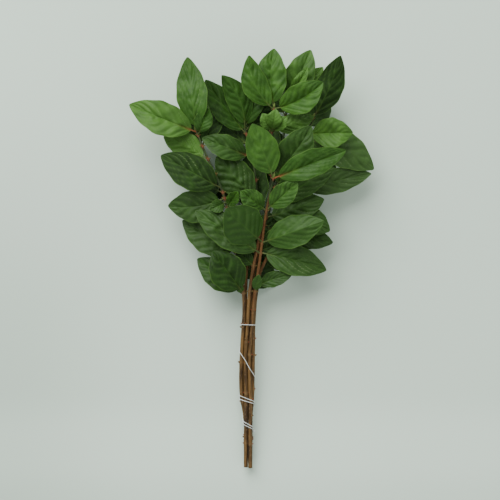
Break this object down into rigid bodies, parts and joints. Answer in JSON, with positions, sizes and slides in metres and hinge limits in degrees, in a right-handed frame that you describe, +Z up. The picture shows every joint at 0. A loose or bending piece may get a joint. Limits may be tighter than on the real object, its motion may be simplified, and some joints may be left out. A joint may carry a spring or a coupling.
{
  "type": "tied bunch of cut viburnum branches",
  "caption": "A lying bunch of cut evergreen viburnum branches: bare stems bound with thin twine, fanning out above it into overlapping pointed oval leaves.",
  "frame": {"origin": "On the surface that the bunch lies on, under the middle of its bounding box", "axes": "+Y runs along the bunch from the cut ends to the leaf tips, +Z is up off the surface, and +X is to the right for someone who looks down on the bunch with the leaves at the top"},
  "size_m": [0.2933, 0.5028, 0.1004],
  "materials": {
    "leaf": "living leaf on a woody stem, dark green with a soft wax gloss",
    "bark": "brown bark, matt, reddish towards the young wood",
    "twine": "white twisted twine, matt"
  },
  "bodies": {
    "root": {"leafy_stem_left": "leaf", "leafy_stem_front": "leaf", "leafy_stem_centre": "leaf", "leafy_stem_top": "leaf", "leafy_stem_back": "leaf", "leafy_stem_right": "leaf", "twine_wrap": "twine"}
  },
  "joints": []
}
